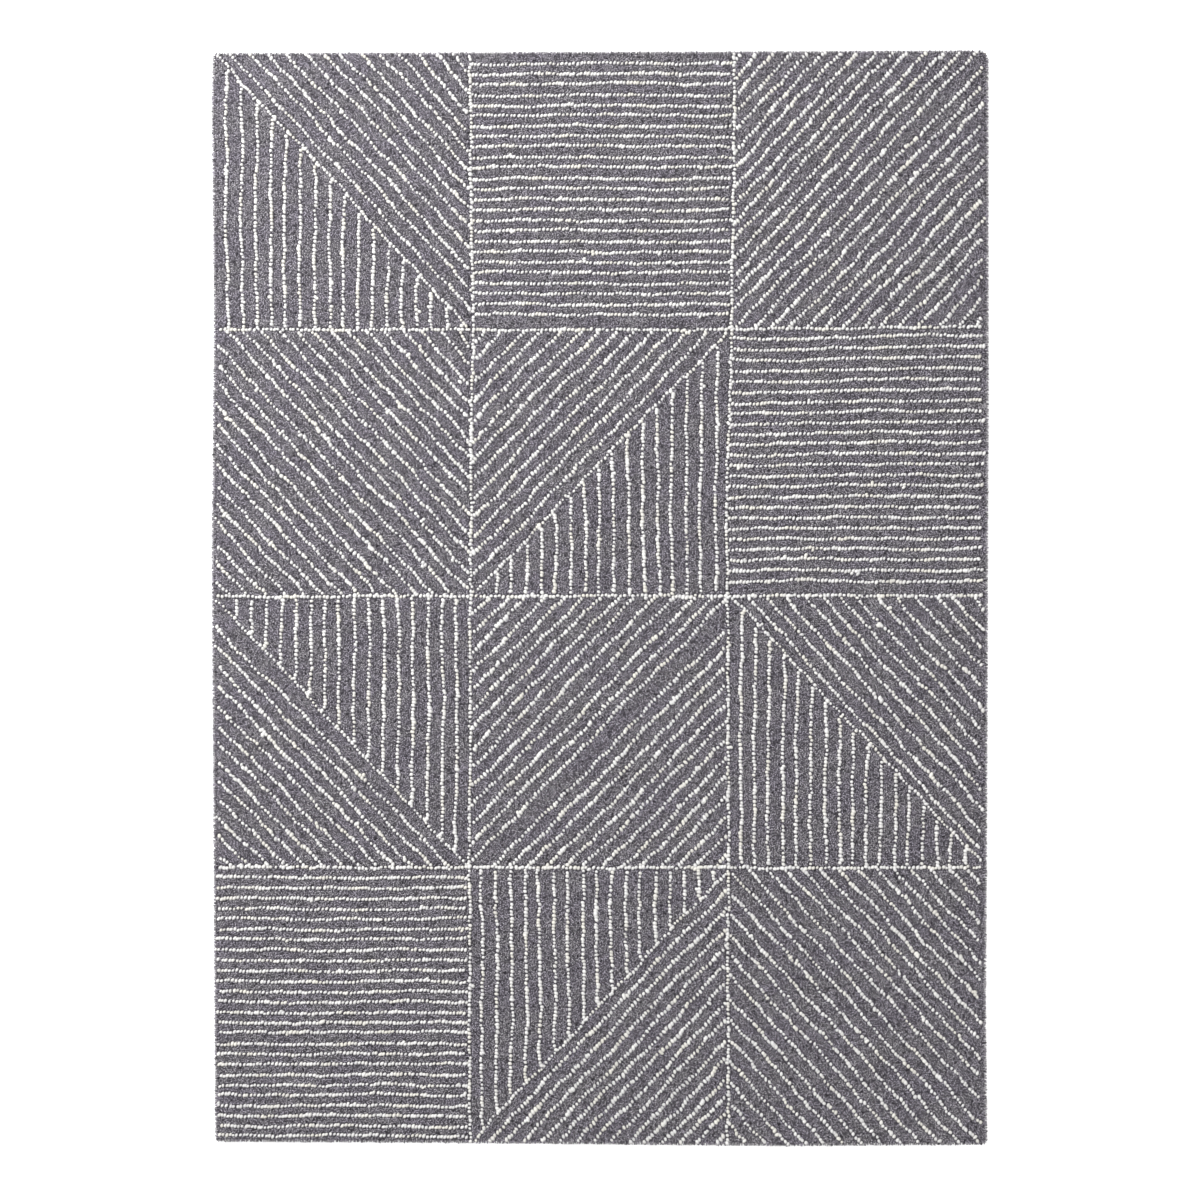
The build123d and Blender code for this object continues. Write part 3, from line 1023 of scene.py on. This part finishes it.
def grid_line_loops(table, upright, rng):
    """The loops of one line of the grid, from one side of the rug to the other."""
    start = -HALF_LENGTH + SOUTH_LAND if upright else -HALF_WIDTH + GRID_WEST_LAND
    end = HALF_LENGTH - NORTH_LAND if upright else HALF_WIDTH - EAST_LAND
    along = np.arange(start, end, POINT_STEP)
    across = course(table, along) + sway(along, GRID_WAVES, rng)
    path = np.stack([across, along] if upright else [along, across], 1)
    return ivory_loops(path, "grid_y" if upright else "grid_x", rng)


def all_ivory():
    """Every ivory loop, by the CAD node that it stands for, with the row of the node."""
    found = {}
    for row, column in PATTERN:
        rng = np.random.default_rng(LINES_SEED + 10 * row + column)
        loops = []
        for kind, path in tile_paths((row, column), rng):
            path = clipped(path, (row, column), rng)
            if path is not None:
                loops.append(ivory_loops(path, kind, rng))
        found[f"ivory_lines_r{row}c{column}"] = (row, np.concatenate(loops))
    rng = np.random.default_rng(GRID_SEED)
    columns = np.concatenate([grid_line_loops(table, True, rng) for table in COLUMN_COURSE])
    for row in ROWS:
        south, north = SIDES_Y[row], SIDES_Y[row - 1]
        inside = (columns[:, Y] > south) & (columns[:, Y] <= north)
        found[f"ivory_column_lines_row_{row}"] = (row, columns[inside])
    for number, table in enumerate(ROW_COURSE, 1):
        found[f"ivory_row_line_{number}"] = BAND_OF_ROW_LINE[number], grid_line_loops(table, False, rng)
    return found


def make_pile():
    """The ivory loops, and the ground round them."""
    ivory = all_ivory()
    for _, loops in ivory.values():
        mark_ivory(loops)
    rng = np.random.default_rng(RIM_SEED)
    rims = [(rim_loops(inset, drop, rng), root) for inset, drop, root in RIMS]
    for key in PATTERN:
        make_ground(key, rims)
    for node, (row, loops) in ivory.items():
        mesh = loop_mesh(loops, DOME, PILE_FLOOR, IVORY_LUMPS)
        add_piece(node, "loops", row, "ivory_wool", *mesh)


TAPE_LIFT = 0.25 * MM  # the tapes and the label stand this far out of the backing cloth
LABEL_LIFT = 0.02 * MM


def band_ends(row, low, high):
    """The south and north end of a layer that spans its row. At a fold the bend's start counts."""
    south, north = BANDS[row]
    return low.y if row == ROWS[-1] else south, high.y if row == ROWS[0] else north


def make_layer(node, row, slot):
    """One inner layer of a band, nearly as wide as the rug."""
    low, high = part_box(node)
    south, north = band_ends(row, low, high)
    ys = stations(south, north)
    west = -outline_half_width(ys, False, BACKING_INSET)
    east = outline_half_width(ys, True, BACKING_INSET)
    points, faces = slab_mesh(west, east, ys, low.z, high.z, LAYER_COLUMNS)
    piece = add_piece(node, "sheet", row, slot, points, faces, smooth=False)


def make_flat_sheet(node, row, sides, heights, slot, columns):
    """A flat rectangular sheet: the backing cloth, a tape or the label."""
    west, south, east, north = sides
    ys = stations(south, north)
    points, faces = slab_mesh(np.full(len(ys), west), np.full(len(ys), east), ys, *heights, columns)
    piece = add_piece(node, "sheet", row, slot, points, faces, smooth=False)


def make_band_sheet(node, row, bottom, slot, columns):
    """A flat sheet that spans its row and lies on the latex coat. Returns its four sides."""
    low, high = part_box(node)
    south, north = band_ends(row, low, high)
    sides = low.x, south, high.x, north
    make_flat_sheet(node, row, sides, (bottom, high.z), slot, columns)
    return sides


# Pitch, length and width of the stitches, and how high in the cloth they come out
TAPE_STITCH = (22 * MM, 9 * MM, 1.3 * MM)
LABEL_STITCH = (7.5 * MM, 4 * MM, 1.2 * MM)
TAPE_STITCH_ROOT, LABEL_STITCH_ROOT = 0.3 * MM, 0.2 * MM
STITCH_JITTER = 0.04  # of the pitch
STITCH_TURN = 0.07  # radians
STITCH_LENGTHS = (0.85, 1.1)
STITCH_INSET = 6 * MM  # from the inner side of the tape


def stitch_loops(lines, pitch, length, width, rng):
    """Short stitches in line, with their arches on the floor."""
    rows = []
    for (x0, y0), (x1, y1) in lines:
        reach = math.hypot(x1 - x0, y1 - y0)
        count = int(reach / pitch)
        t = (np.arange(count) + 0.5) / count + rng.normal(0, STITCH_JITTER * pitch / reach, count)
        row = np.zeros((count, NUMBERS))
        row[:, X], row[:, Y] = x0 + t * (x1 - x0), y0 + t * (y1 - y0)
        row[:, HEADING] = math.atan2(y1 - y0, x1 - x0) + rng.normal(0, STITCH_TURN, count)
        row[:, LENGTH], row[:, WIDTH] = length * rng.uniform(*STITCH_LENGTHS, count), width
        rows.append(row)
    return np.concatenate(rows)


def make_stitches(node, row, loops, root):
    """Stitches that show on the underside, so they point down from their root."""
    points, faces, _ = loop_mesh(loops, RIDGE, root)
    add_piece(node, "threads", row, "stitch_thread", points, faces[:, ::-1])


def make_edges(row):
    """The tapes round the underside of one band and the stitches along their inner sides."""
    rng = np.random.default_rng(STITCH_SEED + row)
    lines = []
    for side in ("west", "east"):
        node = f"edge_tape_{side}_row_{row}"
        west, south, east, north = make_band_sheet(node, row, 0, "tape_cloth", TAPE_COLUMNS)
        x = east - STITCH_INSET if side == "west" else west + STITCH_INSET
        lines.append(((x, south), (x, north)))
    end = {ROWS[0]: "north", ROWS[-1]: "south"}.get(row)
    if end:
        low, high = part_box(f"edge_tape_{end}")
        sides = low.x, low.y, high.x, high.y
        make_flat_sheet(f"edge_tape_{end}", row, sides, (0, high.z), "tape_cloth", CLOTH_COLUMNS)
        y = low.y + STITCH_INSET if end == "north" else high.y - STITCH_INSET
        lines.append(((low.x, y), (high.x, y)))
    loops = stitch_loops(lines, *TAPE_STITCH, rng)
    make_stitches(f"tape_stitching_row_{row}", row, loops, TAPE_STITCH_ROOT)


def make_label():
    """The blank care label and the stitches along one side of it."""
    low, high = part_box("care_label")
    sides = low.x, low.y, high.x, high.y
    make_flat_sheet("care_label", 4, sides, (LABEL_LIFT, TAPE_LIFT), "label_cloth", LABEL_COLUMNS)
    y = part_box("care_label_stitches")[0].y
    rng = np.random.default_rng(LABEL_SEED)
    loops = stitch_loops([((low.x, y), (high.x, y))], *LABEL_STITCH, rng)
    make_stitches("care_label_stitches", 4, loops, LABEL_STITCH_ROOT)


def make_backing():
    """Everything below the pile."""
    for row in ROWS:
        make_layer(f"primary_backing_row_{row}", row, "tufting_cloth")
        make_layer(f"latex_coat_row_{row}", row, "latex")
        make_band_sheet(f"secondary_backing_row_{row}", row, TAPE_LIFT, "backing_cloth", CLOTH_COLUMNS)
        make_edges(row)
    make_label()


make_pile()
make_backing()


# -------------------- floor, light and camera


FLOOR_HALF = 60.0
FLOOR_DROP = 0.4 * MM  # so that it doesn't share a plane with the tapes
FLOOR_GLOW = 0.45  # keeps the paper white where the lamps don't reach
PAPER = (0.93, 0.93, 0.93, 1)
WHITE = (1, 1, 1, 1)


def make_floor():
    """White paper under the rug, far wider than any view."""
    mesh = bpy.data.meshes.new("floor")
    corners = [(x * FLOOR_HALF, y * FLOOR_HALF, 0) for x, y in ((-1, -1), (1, -1), (1, 1), (-1, 1))]
    mesh.from_pydata(corners, [], [(0, 1, 2, 3)])
    floor = bpy.data.objects.new("floor", mesh)
    floor.location.z = -FLOOR_DROP
    bpy.context.scene.collection.objects.link(floor)
    m = Nodes("floor_paper", 0.9, specular=0.1)
    m.color(PAPER)
    m.shader.inputs["Emission Color"].default_value = WHITE
    m.shader.inputs["Emission Strength"].default_value = FLOOR_GLOW
    mesh.materials.append(m.material)


def make_light(name, place, energy, size):
    """A square lamp that points at the middle of the rug."""
    data = bpy.data.lights.new(name, "AREA")
    data.energy = energy
    data.size = size
    light = bpy.data.objects.new(name, data)
    light.location = place
    light.rotation_euler = (-light.location).to_track_quat("-Z", "Y").to_euler()
    bpy.context.scene.collection.objects.link(light)


def make_world(strength):
    """Even light from all round. What the camera sees of it is as white as the paper."""
    world = bpy.data.worlds.new("studio")
    world.use_nodes = True
    tree = world.node_tree
    background = tree.nodes["Background"]
    background.inputs["Color"].default_value = WHITE
    path = tree.nodes.new("ShaderNodeLightPath")
    level = tree.nodes.new("ShaderNodeMapRange")
    level.inputs["To Min"].default_value = strength
    level.inputs["To Max"].default_value = 1.0
    tree.links.new(path.outputs["Is Camera Ray"], level.inputs["Value"])
    tree.links.new(level.outputs["Result"], background.inputs["Strength"])
    bpy.context.scene.world = world


FRAME_WIDTH = 2.635  # what the picture spans at the rug, in metres
PICTURE_MIDDLE = (0.4 * MM, -6.6 * MM)  # what its middle shows of the rug
CAMERA_HEIGHT = 6.0
SENSOR = 36.0
FARTHEST = 50


def make_camera():
    """Straight above the rug, with its length up the picture."""
    data = bpy.data.cameras.new("camera")
    data.sensor_width = SENSOR
    data.lens = SENSOR * (CAMERA_HEIGHT - PILE_TOP) / FRAME_WIDTH
    data.clip_end = FARTHEST
    camera = bpy.data.objects.new("camera", data)
    camera.location = (*PICTURE_MIDDLE, CAMERA_HEIGHT)
    bpy.context.scene.collection.objects.link(camera)
    bpy.context.scene.camera = camera


make_floor()
make_world(0.6)
make_light("key", (-3.2, 2.6, 3.6), energy=380, size=1.6)
make_light("fill", (3.0, -2.0, 4.0), energy=60, size=3.0)
make_camera()
bpy.context.scene.view_settings.view_transform = "Standard"
